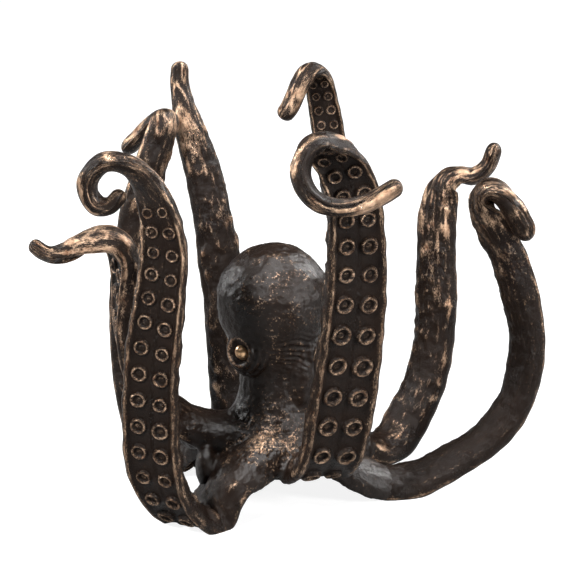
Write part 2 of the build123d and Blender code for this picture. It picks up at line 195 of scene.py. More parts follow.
ROUTES = {
    "arm_front_left": [
        (-0.075, -0.150, 0.124, 1.28, 235, -66),
        (-0.220, -0.280, 0.074, 1.40, 235, -68),
        (-0.318, -0.378, -0.004, 1.20, 235, -70),
        (-0.415, -0.510, 0.050, 1.05, 240, -42),
        (-0.475, -0.600, 0.155, 1.00, 250, -14),
        (-0.484, -0.655, 0.290, 0.98, 256, 0),
        (-0.470, -0.690, 0.430, 0.93, 257, 3),
        (-0.438, -0.715, 0.560, 0.86, 257, 5),
        (-0.422, -0.730, 0.660, 0.79, 256, 0),
        (-0.440, -0.745, 0.742, 0.68, 248, -10),
        (-0.496, -0.750, 0.814, 0.60, 232, -30),
        (-0.562, -0.750, 0.845, 0.56, 215, -60),
        (-0.630, -0.750, 0.846, 0.54, 290, -80),
        (-0.679, -0.755, 0.817, 0.52, 345, -30),
        (-0.684, -0.760, 0.783, 0.48, 350, 15),
        (-0.652, -0.768, 0.758, 0.42, 320, 65),
        (-0.612, -0.775, 0.757, 0.37, 200, 60),
        (-0.586, -0.783, 0.771, 0.32, 190, 20),
        (-0.562, -0.790, 0.790, 0.28, 185, 0),
    ],
    "arm_front_right": [
        (0.060, -0.150, 0.110, 1.12, 288, -70),
        (0.105, -0.270, 0.095, 1.12, 290, -62),
        (0.158, -0.400, 0.150, 1.20, 291, -28),
        (0.194, -0.480, 0.280, 1.22, 292, -6),
        (0.222, -0.540, 0.430, 1.18, 293, 0),
        (0.238, -0.585, 0.560, 1.10, 293, 2),
        (0.238, -0.620, 0.670, 1.00, 290, 0),
        (0.230, -0.660, 0.763, 0.90, 284, -5),
        (0.187, -0.710, 0.842, 0.80, 270, -20),
        (0.127, -0.780, 0.887, 0.71, 250, -50),
        (0.078, -0.860, 0.884, 0.62, 300, -55),
        (0.048, -0.930, 0.840, 0.53, 350, -10),
        (0.084, -0.970, 0.796, 0.45, 20, 45),
        (0.160, -0.970, 0.775, 0.40, 60, 75),
        (0.268, -0.940, 0.780, 0.38, 95, 60),
        (0.390, -0.900, 0.816, 0.35, 110, 40),
    ],
    "arm_right_front": [
        (0.130, -0.040, 0.110, 0.98, 22, -75),
        (0.305, -0.020, 0.034, 0.98, 28, -74),
        (0.430, 0.012, 0.008, 0.98, 33, -71),
        (0.558, 0.040, 0.026, 0.88, 37, -63),
        (0.682, 0.064, 0.064, 0.78, 41, -50),
        (0.796, 0.078, 0.111, 0.76, 43, -37),
        (0.881, 0.088, 0.177, 0.74, 44, -23),
        (0.928, 0.100, 0.261, 0.74, 40, -10),
        (0.937, 0.115, 0.352, 0.77, 37, 0),
        (0.908, 0.122, 0.442, 0.80, 38, 8),
        (0.862, 0.125, 0.530, 0.82, 40, 13),
        (0.801, 0.124, 0.603, 0.83, 33, 10),
        (0.758, 0.112, 0.658, 0.80, 26, -12),
        (0.767, 0.088, 0.700, 0.78, 18, -55),
        (0.815, 0.055, 0.702, 0.75, 215, -74),
        (0.878, 0.018, 0.656, 0.73, 198, -32),
        (0.930, -0.012, 0.596, 0.70, 196, -18),
    ],
    "arm_right_rear": [
        (0.130, 0.100, 0.120, 0.95, 40, -78),
        (0.250, 0.195, 0.092, 0.95, 46, -78),
        (0.345, 0.270, 0.050, 0.95, 53, -72),
        (0.427, 0.335, 0.053, 0.92, 59, -60),
        (0.494, 0.395, 0.103, 0.88, 63, -42),
        (0.560, 0.450, 0.182, 0.84, 62, -22),
        (0.598, 0.490, 0.275, 0.83, 60, -8),
        (0.606, 0.515, 0.390, 0.83, 58, 0),
        (0.604, 0.538, 0.510, 0.82, 55, 2),
        (0.612, 0.556, 0.612, 0.79, 46, -8),
        (0.646, 0.565, 0.676, 0.72, 20, -45),
        (0.704, 0.558, 0.694, 0.62, 348, -76),
        (0.762, 0.542, 0.694, 0.54, 345, -65),
        (0.814, 0.522, 0.722, 0.47, 350, -32),
        (0.841, 0.492, 0.778, 0.41, 352, -12),
    ],
    "arm_rear": [
        (0.050, 0.160, 0.110, 0.90, 75, -80),
        (0.072, 0.345, 0.045, 0.90, 75, -84),
        (0.105, 0.475, 0.000, 0.95, 73, -80),
        (0.155, 0.575, 0.018, 0.96, 66, -62),
        (0.215, 0.635, 0.090, 0.95, 52, -35),
        (0.268, 0.660, 0.200, 0.93, 30, -14),
        (0.284, 0.670, 0.330, 0.88, 5, 0),
        (0.262, 0.680, 0.470, 0.82, 340, 0),
        (0.218, 0.690, 0.620, 0.74, 308, 0),
        (0.178, 0.690, 0.750, 0.64, 286, 0),
        (0.152, 0.680, 0.852, 0.59, 275, -5),
        (0.130, 0.652, 0.921, 0.54, 270, -35),
        (0.100, 0.595, 0.948, 0.47, 262, -82),
        (0.054, 0.545, 0.920, 0.39, 75, -40),
        (0.014, 0.530, 0.864, 0.36, 75, -5),
        (-0.024, 0.530, 0.836, 0.33, 60, 30),
    ],
    "arm_rear_left": [
        (-0.085, 0.190, 0.110, 0.90, 115, -80),
        (-0.135, 0.365, 0.045, 0.90, 115, -84),
        (-0.170, 0.495, 0.000, 0.95, 115, -80),
        (-0.205, 0.595, 0.018, 0.96, 115, -62),
        (-0.218, 0.660, 0.090, 0.93, 114, -35),
        (-0.233, 0.690, 0.200, 0.90, 112, -14),
        (-0.248, 0.700, 0.330, 0.88, 110, -5),
        (-0.274, 0.710, 0.460, 0.84, 110, 0),
        (-0.305, 0.725, 0.580, 0.78, 110, 0),
        (-0.344, 0.745, 0.690, 0.72, 110, 0),
        (-0.391, 0.765, 0.782, 0.61, 110, -10),
        (-0.422, 0.800, 0.846, 0.47, 112, -34),
        (-0.441, 0.835, 0.896, 0.39, 112, -16),
        (-0.440, 0.850, 0.954, 0.34, 110, 10),
    ],
    "arm_left_rear": [
        (-0.160, 0.080, 0.110, 0.95, 140, -76),
        (-0.310, 0.200, 0.076, 0.95, 140, -80),
        (-0.425, 0.310, 0.002, 0.95, 138, -76),
        (-0.515, 0.400, 0.018, 0.98, 136, -60),
        (-0.585, 0.470, 0.095, 0.98, 135, -34),
        (-0.620, 0.510, 0.205, 0.96, 135, -12),
        (-0.633, 0.530, 0.320, 0.92, 135, -3),
        (-0.628, 0.540, 0.450, 0.88, 136, 0),
        (-0.602, 0.555, 0.570, 0.84, 138, 0),
        (-0.562, 0.565, 0.675, 0.78, 142, 0),
        (-0.520, 0.578, 0.757, 0.70, 148, -12),
        (-0.492, 0.596, 0.814, 0.62, 154, -40),
        (-0.495, 0.628, 0.832, 0.54, 158, -75),
        (-0.540, 0.665, 0.817, 0.50, 332, -75),
        (-0.606, 0.695, 0.776, 0.47, 335, -45),
        (-0.670, 0.715, 0.737, 0.44, 335, -35),
    ],
    "arm_left": [
        (-0.170, -0.055, 0.150, 1.00, 175, -72),
        (-0.325, -0.085, 0.160, 1.00, 172, -66),
        (-0.437, -0.110, 0.202, 1.03, 172, -56),
        (-0.520, -0.130, 0.248, 1.00, 175, -35),
        (-0.586, -0.140, 0.325, 0.96, 185, -10),
        (-0.610, -0.150, 0.415, 0.93, 190, 5),
        (-0.602, -0.160, 0.510, 0.95, 195, 0),
        (-0.608, -0.180, 0.584, 0.98, 200, -30),
        (-0.662, -0.210, 0.625, 0.92, 205, -62),
        (-0.740, -0.240, 0.620, 0.75, 215, -70),
        (-0.820, -0.260, 0.600, 0.50, 230, -60),
        (-0.888, -0.270, 0.595, 0.37, 235, -50),
        (-0.950, -0.270, 0.622, 0.26, 220, -40),
    ],
}
# Row number at which each arm's suckers end and its trough closes.
LAST_SUCKER_ROW = {
    "arm_front_left": 9.25,
    "arm_front_right": 10.3,
    "arm_right_front": 12.2,
    "arm_right_rear": 11.2,
    "arm_rear": 11.7,
    "arm_rear_left": 11.0,
    "arm_left_rear": 11.1,
    "arm_left": 10.8,
}
print("arms", len(ROUTES))

# %% [markdown]
# ## Walking along a route
# Between the points we need places as close together as we like. A Catmull-Rom curve passes through
# every point, and each span needs only its four neighbours, so numpy works out a whole arm at once.
# Each station gets three directions: along the arm, across its width, and out of its sucker face.

# %% Walk a route
ROW_STEP = 0.01


def thickness(size):
    """An arm thins more slowly than it narrows."""
    return ARM_THICKNESS * (THICKNESS_FLOOR_SHARE + (1 - THICKNESS_FLOOR_SHARE) * size)


def route_table(name):
    """Points of one arm in metres: place, size, facing direction."""
    sole = thickness(1) / 2 - SOLE_DEPTH
    table = []
    for across, back, up, size, bearing, pitch in ROUTES[name]:
        bearing, pitch = math.radians(bearing), math.radians(pitch)
        x = FIGURE_MIDDLE.x + across * HALF_WIDTH
        y = FIGURE_MIDDLE.y + back * HALF_DEPTH
        z = sole + up * HEIGHT
        level = math.cos(pitch)
        table.append((x, y, z, size, math.cos(bearing) * level, math.sin(bearing) * level, math.sin(pitch)))
    return np.array(table)


def through_points(points, first, u):
    """Catmull-Rom values between the points first + 1 and first + 2, at the share u of the way."""
    a, b, c, d = (points[(first + step) % len(points)] for step in range(4))
    return b + u * ((c - a) + u * (2 * a - 5 * b + 4 * c - d + u * (3 * b - a - 3 * c + d))) / 2


def catmull_rom(table, where):
    """Values of the table at fractional row numbers."""
    padded = np.vstack([2 * table[0] - table[1], table, 2 * table[-1] - table[-2]])
    first = np.clip(np.floor(where).astype(int), 0, len(table) - 2)
    return through_points(padded, first, (where - first)[:, None])


def unit(rows):
    """Each row scaled to length one."""
    return rows / np.linalg.norm(rows, axis=1)[:, None]


def stations(table, where):
    """Places, sizes and the three directions at fractional row numbers."""
    values = catmull_rom(table, where)
    top = len(table) - 1
    ahead = catmull_rom(table, np.minimum(where + ROW_STEP, top))[:, :3]
    behind = catmull_rom(table, np.maximum(where - ROW_STEP, 0))[:, :3]
    along = unit(ahead - behind)
    across = unit(np.cross(values[:, 4:], along))
    out = np.cross(along, across)
    return values[:, :3], values[:, 3], along, across, out


print("first point", route_table("arm_front_left")[0].round(3))

# %% [markdown]
# ## Spacing by sucker
# Suckers shrink with the arm and stay one pitch apart, so it pays to count along the arm in pitches and
# not in millimetres. `pitch_walk` adds up how many pitches have gone by at each place of the route. The
# skin's rings then sit close where the arm is thin, and the suckers sit on whole counts and a half.

# %% Count pitches
PITCH_SHARE = 0.98
ROUTE_SAMPLES = 1500
FIRST_SUCKER_ROW = 1


def pitch_walk(table, start_row):
    """Row numbers along a route and the sucker pitches passed since start_row."""
    rows = np.linspace(start_row, len(table) - 1, ROUTE_SAMPLES)
    values = catmull_rom(table, rows)
    steps = np.linalg.norm(np.diff(values[:, :3], axis=0), axis=1)
    pitch = PITCH_SHARE * ARM_WIDTH / 2 * (values[1:, 3] + values[:-1, 3]) / 2
    return rows, np.concatenate([[0], np.cumsum(steps / pitch)])


for name in ROUTES:
    rows, passed = pitch_walk(route_table(name), FIRST_SUCKER_ROW)
    print(name, "pitches", round(float(passed[-1]), 1))

# %% [markdown]
# ## The section of an arm
# Cut across, an arm is a thick D: a shallow trough for the suckers between two raised edges, flat flanks,
# and a round back. We give the right half as a few points, mirror it, and run the same kind of curve
# round them, so that the skin is smooth between them. Past its last sucker the trough closes, and the
# top becomes as round as the back.

# %% Draw the section
SECTION_HALF = [
    # share of half the width, share of half the thickness
    (0.00, 0.66),
    (0.30, 0.66),
    (0.56, 0.67),
    (0.70, 0.72),
    (0.79, 0.90),
    (0.87, 0.97),
    (0.96, 0.80),
    (1.00, 0.42),
    (0.97, 0.00),
    (0.88, -0.38),
    (0.72, -0.68),
    (0.50, -0.88),
    (0.26, -0.97),
    (0.00, -1.00),
]
SECTION_SPLIT = 2


def section_points():
    """Closed outline across an arm, as shares of half its width and half its thickness."""
    left = [(-across, level) for across, level in reversed(SECTION_HALF[1:-1])]
    corners = np.array(SECTION_HALF + left)
    where = np.arange(len(corners) * SECTION_SPLIT) / SECTION_SPLIT
    first = where.astype(int)
    return through_points(corners, first - 1, (where - first)[:, None])


SECTION = section_points()
# Where each point would lie on a round top.
ROUND_LEVEL = np.sqrt(np.clip(1 - SECTION[:, 0] ** 2, 0, 1))
CREST_LEVEL = SECTION[:, 1].max()
print("points across", len(SECTION))

# %% [markdown]
# ## The relief and the wear of the skin
# The hand-made look of an arm comes from noise: lumps all over, and long shallow furrows down its back,
# as in bark. Where the skin stands proud, the cast piece was rubbed with copper, so the wear of each
# point follows from the same numbers: the edges of the trough, the flanks under them, the corners of the
# back, the tops of furrows and lumps, and the whole tip.

# %% Shape the relief
BACK_LEVEL = 0.35
BACK_GAIN = 1.6
FURROW_DEPTH = 1.25 * MM
FURROW_WIDTH = 3.6 * MM
FURROW_LENGTH = 15 * MM
FURROW_SLANT = 2
FURROW_REST = 0.75
COARSE_SHARE = 0.65
FINE_ACROSS = 2.6
FINE_ALONG = 2.2
FINE_SEED = 7
LUMP_DEPTH = 0.75 * MM
LUMP_SIZE = 8 * MM
LUMP_LEAST = 0.25


def hold(value):
    """A number held between 0 and 1."""
    return min(1, max(0, value))


def ridge_noise(x, y, z):
    """Noise with sharp crests, 1 at the most."""
    return 1 - abs(noise.noise(Vector((x, y, z)))) * 2


def relief(side, lift, level, run, seed):
    """How much a point belongs to the back, its furrow and lump noise, and how far they raise it."""
    back = hold((BACK_LEVEL - level) * BACK_GAIN)
    down_back = run / FURROW_LENGTH
    furrow = ridge_noise(side / FURROW_WIDTH + level * FURROW_SLANT, down_back, seed)
    fine = ridge_noise(side / FURROW_WIDTH * FINE_ACROSS, down_back * FINE_ALONG, seed + FINE_SEED)
    lump = noise.noise(Vector((side, lift, run)) / LUMP_SIZE + Vector((seed, 0, 0)))
    rise = FURROW_DEPTH * (COARSE_SHARE * furrow + (1 - COARSE_SHARE) * fine - FURROW_REST) * back
    rise += LUMP_DEPTH * lump * (LUMP_LEAST + (1 - LUMP_LEAST) * back)
    return back, furrow, lump, rise


print("rise of a back", round(relief(0, -ARM_THICKNESS / 2, -1, 0, 1)[-1] / MM, 2), "mm")

# %% Decide the wear
# How much copper was rubbed on each arm's back, judged from the photograph where it shows.
BACK_RUB = {
    "arm_front_left": 0.8,
    "arm_front_right": 1.6,
    "arm_right_front": 0.4,
    "arm_right_rear": 1.3,
    "arm_rear": 1.2,
    "arm_rear_left": 1.1,
    "arm_left_rear": 1.0,
    "arm_left": 1.0,
}
BACK_WEAR = 0.8
# Bands along an arm: how worn they are, at which level of the section, and how far the wear fades.
CREST = (0.62, CREST_LEVEL, 0.16)
FLANK = (0.544, 0.6, 0.35)
CORNER = (1.0, -0.45, 0.22)
# The share of half the width from which the crest and the flank begin.
CREST_SHARE = 0.7
FLANK_SHARE = 0.9
CORNER_STEADY = 0.35
CORNER_PATCHY = 0.6
FURROW_TOP = 0.55
LUMP_WEAR = 0.5
TIP_STEADY = 0.02
TIP_FURROW = 0.50


def band(level, worn, middle, spread):
    """Wear of a band along an arm, strongest at its middle level."""
    return worn * max(0, 1 - abs(level - middle) / spread)


def arm_wear(name, share, level, closed, tip, back, furrow, lump):
    """How much copper a point of an arm's skin was rubbed with."""
    crest = band(level, *CREST) * (1 - closed) if abs(share) > CREST_SHARE else 0
    flank = band(level, *FLANK) * (1 + lump) if abs(share) > FLANK_SHARE else 0
    corner = band(level, *CORNER) * (CORNER_STEADY + CORNER_PATCHY * lump)
    proud = back * (max(0, furrow - FURROW_TOP) + max(0, lump) * LUMP_WEAR) + max(0, corner)
    most = max(crest, flank, BACK_WEAR * BACK_RUB[name] * proud)
    return most + tip * (TIP_STEADY + TIP_FURROW * furrow)


print("arms with a rub of their own", len(BACK_RUB))

# %% [markdown]
# ## Sweeping the skin
# No operator sweeps a section that keeps turning to face a chosen way, so the skin is laid ring by ring
# in code. Each ring gets the section at its own size, which swells a little now and then, and its edges
# bulge beside each pair of suckers. The rings shrink on a quarter circle at the very tip, which rounds it.

# %% Sweep an arm
RINGS_PER_PITCH = 14
SWELL = 0.05
SWELL_LENGTH = 22 * MM
SWELL_LINE = 3.1
CLOSING_ROWS = 1.2
TIP_ROUND_PITCHES = 0.9
TIP_LEAST = 0.0004
TIP_WEAR_PITCHES = {"arm_front_left": 17}
USUAL_TIP_PITCHES = 11
TIP_WEAR_GAIN = 1.8
SCALLOP = 0.35 * MM
SCALLOP_SHARE = 0.75
SCALLOP_GAIN = 1.5


def travel(places):
    """The way travelled from the first place to each place."""
    return np.concatenate([[0], np.cumsum(np.linalg.norm(np.diff(places, axis=0), axis=1))])


def sweep(name, start_row, seed):
    """Vertex rings, wear and the way travelled of one arm's skin."""
    table = route_table(name)
    rows, passed = pitch_walk(table, start_row)
    total = passed[-1]
    counts = np.linspace(0, total, int(total * RINGS_PER_PITCH))
    where = np.interp(counts, passed, rows)
    places, sizes, along, across, out = stations(table, where)
    travelled = travel(places)
    to_tip = total - counts
    rounding = 1 - np.clip(to_tip / TIP_ROUND_PITCHES, 0, 1)
    closing = np.sqrt(np.clip(1 - rounding**2, TIP_LEAST, 1))
    worn_pitches = TIP_WEAR_PITCHES.get(name, USUAL_TIP_PITCHES)
    beat = np.interp(where, *pitch_walk(table, FIRST_SUCKER_ROW))
    rings = np.empty((len(counts), len(SECTION), 3))
    wear = np.empty((len(counts), len(SECTION)))
    for i, (place, size) in enumerate(zip(places, sizes)):
        swell = 1 + SWELL * noise.noise(Vector((travelled[i] / SWELL_LENGTH, seed, SWELL_LINE)))
        half_width = ARM_WIDTH / 2 * size * swell * closing[i]
        half_thick = thickness(size) / 2 * closing[i]
        tip = hold((1 - to_tip[i] / worn_pitches) * TIP_WEAR_GAIN)
        closed = hold((where[i] - LAST_SUCKER_ROW[name]) / CLOSING_ROWS + 0.5)
        scallop = SCALLOP * size * (1 - closed) * (1 - math.cos(math.tau * beat[i])) / 2
        for j, (share, level) in enumerate(SECTION):
            if level > 0:
                level += closed * (ROUND_LEVEL[j] - level)
            side, lift = share * half_width, level * half_thick
            if abs(share) > SCALLOP_SHARE:
                side += math.copysign(scallop, share) * hold(level * SCALLOP_GAIN)
            back, furrow, lump, rise = relief(side, lift, level, travelled[i], seed)
            reach = 1 + rise * size * closing[i] / max(half_thick, MM)
            rings[i, j] = place + (across[i] * side + out[i] * lift) * reach
            wear[i, j] = arm_wear(name, share, level, closed, tip, back, furrow, lump)
    rings[:, :, 2] = np.maximum(rings[:, :, 2], 0)
    return rings, wear, travelled


print("rings per pitch", RINGS_PER_PITCH)

# %% Make a mesh of the rings
def give_wear(mesh, wear):
    """Keeps the wear of each point as an attribute, which the material reads."""
    worn = mesh.attributes.new("wear", "FLOAT", "POINT")
    worn.data.foreach_set("value", np.asarray(wear, dtype=np.float32).ravel())


def new_object(name, places, faces, wear, uv):
    """A new object with wear at each point, and with a UV place, for streaks that follow the skin."""
    mesh = bpy.data.meshes.new(name)
    mesh.from_pydata(places, [], faces)
    give_wear(mesh, wear)
    corners = np.empty(len(mesh.loops), dtype=np.int32)
    mesh.loops.foreach_get("vertex_index", corners)
    layer = mesh.uv_layers.new(name="skin")
    layer.data.foreach_set("uv", uv[corners].ravel().astype(np.float32))
    made = bpy.data.objects.new(name, mesh)
    bpy.context.collection.objects.link(made)
    return made


def skin_object(name, rings, wear, travelled):
    """An object from closed rings, with both ends capped."""
    lines, around = wear.shape
    index = np.arange(lines * around).reshape(lines, around)
    nxt = np.roll(index, -1, axis=1)
    quads = np.stack([index[:-1], index[1:], nxt[1:], nxt[:-1]], axis=-1).reshape(-1, 4)
    caps = [list(index[0]), list(index[-1][::-1])]
    u = np.tile(np.arange(around) / around, (lines, 1)).ravel()
    v = np.repeat(travelled, around) / ARM_WIDTH
    places = rings.reshape(-1, 3).tolist()
    return new_object(name, places, quads.tolist() + caps, wear, np.column_stack([u, v]))


print("meshes so far", len(bpy.data.meshes))

# %% [markdown]
# ## One sucker
# A sucker is a cup with a rounded rim. It is modelled once, by hand methods: a circle is extruded and
# resized step by step up the outside, over the rim and down into the pit. Twelve sides are enough,
# because it is repeated hundreds of times and smooth shading does the rest. Its wear is highest on the rim.

# %% Model the sucker
CUP_SIDES = 12
CUP_PROFILE = [
    # radius and height, as shares of the sucker's radius
    (1.12, -0.16),
    (0.98, 0.28),
    (0.82, 0.44),
    (0.66, 0.32),
    (0.54, -0.04),
    (0.24, 0.06),
]
CUP_WEAR = (0.0, 0.30, 0.70, 0.45, 0.0, 0.35)

select()
start, level = CUP_PROFILE[0]
bpy.ops.mesh.primitive_circle_add(vertices=CUP_SIDES, radius=start, location=(0, 0, level))
cup = bpy.context.object
bpy.ops.object.mode_set(mode="EDIT")
bpy.ops.mesh.select_all(action="SELECT")
for (near, low), (far, high) in zip(CUP_PROFILE, CUP_PROFILE[1:]):
    bpy.ops.mesh.extrude_region_move(TRANSFORM_OT_translate={"value": (0, 0, high - low)})
    bpy.ops.transform.resize(value=(far / near, far / near, 1))
bpy.ops.mesh.edge_face_add()
bpy.ops.mesh.poke()
bpy.ops.mesh.select_all(action="SELECT")
bpy.ops.mesh.normals_make_consistent(inside=False)
bpy.ops.object.mode_set(mode="OBJECT")
bpy.ops.object.transform_apply()
cup_places = np.array([vertex.co[:] for vertex in cup.data.vertices])
cup_faces = [list(face.vertices) for face in cup.data.polygons]
cup_wear = np.interp(np.arange(len(cup_places)) // CUP_SIDES, range(len(CUP_WEAR)), CUP_WEAR)
bpy.data.objects.remove(cup)
print("sucker faces", len(cup_faces), "lowest", cup_places[:, 2].min().round(2))

# %% [markdown]
# ## Planting the suckers
# Pairs of cups stand in the trough, one pair to a pitch, a little out of step. Hand modelling is never
# even, so each cup is a shade larger or smaller than the next and turned at random. The random
# numbers are seeded, so the figure is the same every time.

# %% Plant suckers
CUP_RADIUS_SHARE = 0.30
CUP_OFFSET_SHARE = 0.40
CUP_STAGGER = 0.10
CUP_SIZE_SPREAD = 0.09
TROUGH_LEVEL = 0.66


def plant(name, seed):
    """Vertices, faces and wear of all the suckers of an arm."""
    chance = np.random.default_rng(seed)
    table = route_table(name)
    rows, passed = pitch_walk(table, FIRST_SUCKER_ROW)
    places, faces, wear = [], [], []
    for pair in range(int(passed[-1])):
        for side in (-1, 1):
            row = np.interp(pair + 0.5 + side * CUP_STAGGER / 2, passed, rows)
            if row > LAST_SUCKER_ROW[name]:
                continue
            spot, size, along, across, out = (value[0] for value in stations(table, np.array([row])))
            radius = CUP_RADIUS_SHARE * ARM_WIDTH / 2 * size
            radius *= 1 + CUP_SIZE_SPREAD * chance.uniform(-1, 1)
            turn = chance.uniform(0, math.tau)
            x = cup_places[:, :1] * math.cos(turn) - cup_places[:, 1:2] * math.sin(turn)
            y = cup_places[:, :1] * math.sin(turn) + cup_places[:, 1:2] * math.cos(turn)
            foot = spot + across * side * CUP_OFFSET_SHARE * ARM_WIDTH / 2 * size
            foot = foot + out * TROUGH_LEVEL * thickness(size) / 2
            placed = foot + radius * (x * across - y * along + cup_places[:, 2:] * out)
            placed[:, 2] = np.maximum(placed[:, 2], 0)
            faces += [[i + len(places) for i in face] for face in cup_faces]
            places += placed.tolist()
            wear += cup_wear.tolist()
    return places, faces, wear


places, faces, wear = plant("arm_front_left", 1)
print("suckers on the front left arm", len(faces) // len(cup_faces))

# %% [markdown]
# ## The finish
# Antique bronze is made in two coats: a dark patina all over, then a nearly dry brush of copper that only
# catches what stands proud. So one mask rules the material. It starts from the wear attribute of the
# mesh, is broken up by noise, coarse for streaks and fine for flecks, and drives colour and metal
# together. It is a node group, because the body and the arms use it at different scales.

# %% Build the rubbed copper mask
STREAK_CONTRAST = 1.8
FLECK_CONTRAST = 2.7
RUB_START = 0.46
RUB_FULL = 0.98


def socket(group, name, kind, way):
    """One socket on a group's interface."""
    group.interface.new_socket(name=name, in_out=way, socket_type=kind)


def maths(tree, operation, *values):
    """A math node on sockets or numbers."""
    made = tree.nodes.new("ShaderNodeMath")
    made.operation = operation
    for value, place in zip(values, made.inputs):
        feed(tree, value, place)
    return made.outputs[0]


def texture(tree, place, **inputs):
    """Noise at the places that a socket gives."""
    return node(tree, "ShaderNodeTexNoise", Vector=place, **inputs).outputs["Fac"]


def build_rub_group():
    """Where copper was rubbed on: wear broken up by streaks and by fine flecks, and their height."""
    group = bpy.data.node_groups.new("rubbed_copper", "ShaderNodeTree")
    socket(group, "Vector", "NodeSocketVector", "INPUT")
    for name in ("Wear", "Streak Scale", "Fleck Scale"):
        socket(group, name, "NodeSocketFloat", "INPUT")
    for name in ("Mask", "Height"):
        socket(group, name, "NodeSocketFloat", "OUTPUT")
    inside = group.nodes.new("NodeGroupInput")
    outside = group.nodes.new("NodeGroupOutput")
    place, coarse, fine = (inside.outputs[name] for name in ("Vector", "Streak Scale", "Fleck Scale"))
    streaks = texture(group, place, Scale=coarse, Detail=7.0, Roughness=0.66)
    flecks = texture(group, place, Scale=fine, Detail=4.0, Roughness=0.75)
    # Noise lies round a half, so half the contrast comes off again.
    streaks = maths(group, "MULTIPLY_ADD", streaks, STREAK_CONTRAST, -STREAK_CONTRAST / 2)
    flecks = maths(group, "MULTIPLY_ADD", flecks, FLECK_CONTRAST, -FLECK_CONTRAST / 2)
    rough = maths(group, "ADD", streaks, flecks)
    total = maths(group, "ADD", rough, inside.outputs["Wear"])
    edge = node(group, "ShaderNodeMapRange", Value=total, From_Min=RUB_START, From_Max=RUB_FULL)
    edge.interpolation_type = "SMOOTHSTEP"
    feed(group, edge.outputs[0], outside.inputs["Mask"])
    feed(group, rough, outside.inputs["Height"])
    return group


RUB = build_rub_group()
print("group", RUB.name)

# %% [markdown]
# The bronze itself puts the mask to use. The patina is nearly black with brown clouds, and duller where
# the clouds are. The copper is brighter on the grain's tops, as a dry brush leaves it. Grain, streaks and
# flecks also go into a bump, so that the copper looks laid on.

# %% Build the bronze
PATINA_DARK = (0.0035, 0.0030, 0.0028, 1)
PATINA_BROWN = (0.0170, 0.0085, 0.0048, 1)
COPPER_DULL = (0.16, 0.075, 0.038, 1)
COPPER_CLEAN = (0.95, 0.66, 0.45, 1)
COPPER_METAL = 0.85
CLOUD_SCALE = 42.0
LEAST_ROUGHNESS = 0.13
CLOUD_ROUGHNESS = 0.34
POLISH_CONTRAST = 2.4
POLISH_SHIFT = -0.75
STREAK_STRETCH = (8.0, 0.85, 1)
RUB_HEIGHT = 0.16
GRAIN_STRENGTH = 0.75


def mix_colour(tree, factor, first, second):
    """A colour mix of two colours or sockets."""
    made = tree.nodes.new("ShaderNodeMix")
    made.data_type = "RGBA"
    feed(tree, factor, made.inputs["Factor"])
    feed(tree, first, made.inputs[6])
    feed(tree, second, made.inputs[7])
    return made.outputs[2]


def bronze(name, streak_scale, fleck_scale, grain_scale, grain_depth, gloss, along_uv):
    """Dark patina with copper rubbed on what stands proud."""
    made = bpy.data.materials.new(name)
    made.use_nodes = True
    tree = made.node_tree
    shader = tree.nodes["Principled BSDF"]
    coords = tree.nodes.new("ShaderNodeTexCoord")
    worn = tree.nodes.new("ShaderNodeAttribute")
    worn.attribute_name = "wear"
    rub = tree.nodes.new("ShaderNodeGroup")
    rub.node_tree = RUB
    rub.inputs["Streak Scale"].default_value = streak_scale
    rub.inputs["Fleck Scale"].default_value = fleck_scale
    feed(tree, worn.outputs["Fac"], rub.inputs["Wear"])
    place = coords.outputs["Object"]
    if along_uv:
        stretch = node(tree, "ShaderNodeMapping", Vector=coords.outputs["UV"], Scale=STREAK_STRETCH)
        place = stretch.outputs["Vector"]
    feed(tree, place, rub.inputs["Vector"])
    clouds = texture(tree, coords.outputs["Object"], Scale=CLOUD_SCALE, Detail=5.0, Roughness=0.65)
    grain = texture(tree, coords.outputs["Object"], Scale=grain_scale, Detail=5.0, Roughness=0.6)
    mask = rub.outputs["Mask"]
    patina = mix_colour(tree, clouds, PATINA_DARK, PATINA_BROWN)
    polish = maths(tree, "MULTIPLY_ADD", grain, POLISH_CONTRAST, POLISH_SHIFT)
    polish.node.use_clamp = True
    copper = mix_colour(tree, polish, COPPER_DULL, COPPER_CLEAN)
    feed(tree, mix_colour(tree, mask, patina, copper), shader.inputs["Base Color"])
    feed(tree, maths(tree, "MULTIPLY", mask, COPPER_METAL), shader.inputs["Metallic"])
    rough = maths(tree, "MULTIPLY_ADD", clouds, CLOUD_ROUGHNESS, LEAST_ROUGHNESS)
    feed(tree, rough, shader.inputs["Roughness"])
    shader.inputs["Specular IOR Level"].default_value = gloss
    heights = maths(tree, "MULTIPLY_ADD", rub.outputs["Height"], RUB_HEIGHT, grain)
    bump = node(tree, "ShaderNodeBump", Strength=GRAIN_STRENGTH, Distance=grain_depth, Height=heights)
    feed(tree, bump.outputs["Normal"], shader.inputs["Normal"])
    return made


ARM_BRONZE = bronze(
    "arm_bronze", streak_scale=4.2, fleck_scale=24.0, grain_scale=190.0,
    grain_depth=1.3 * MM, gloss=0.15, along_uv=True,
)
BODY_BRONZE = bronze(
    "body_bronze", streak_scale=110.0, fleck_scale=850.0, grain_scale=130.0,
    grain_depth=0.9 * MM, gloss=0.30, along_uv=False,
)
print("materials", ARM_BRONZE.name, BODY_BRONZE.name)

# %% [markdown]
# ## Making the eight arms
# Now the skin and its suckers are joined into one mesh per arm, shaded smooth, and each stands for
# the solid arm of the same name. The skin starts a little inside the body, so that no seam shows. The
# suckers are not on the skin's UV map, so how far across and up they stand does for them.

# %% Make the arms
START_ROW = {"arm_front_left": 0.5}
USUAL_START_ROW = 0.9
CUP_UV_STRETCH = np.array((0.25, 5.0))


